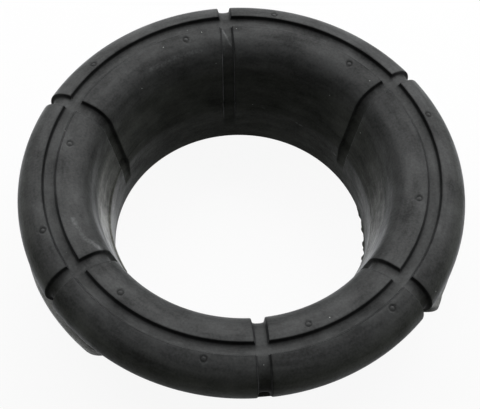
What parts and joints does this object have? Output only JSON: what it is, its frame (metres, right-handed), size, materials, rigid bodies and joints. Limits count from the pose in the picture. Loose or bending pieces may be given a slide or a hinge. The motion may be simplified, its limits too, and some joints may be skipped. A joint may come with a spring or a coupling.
{
  "type": "coil spring insulator",
  "caption": "Moulded rubber ring that seats the end coil of a vehicle spring, with a rounded pad top, a bell-mouthed bore and a gapped rim underneath.",
  "frame": {"origin": "on the axis of the bore, at the foot of the sleeve that the ring rests on", "axes": "+Z along the bore's axis, from the sleeve's foot to the padded top; -Y through the middle of the groove beside the gap in the rim, +X to the right of it"},
  "size_m": [0.1476, 0.1476, 0.046],
  "materials": {
    "rubber": "satin moulded rubber"
  },
  "bodies": {
    "root": {"insulator_ring": "rubber"}
  },
  "joints": []
}
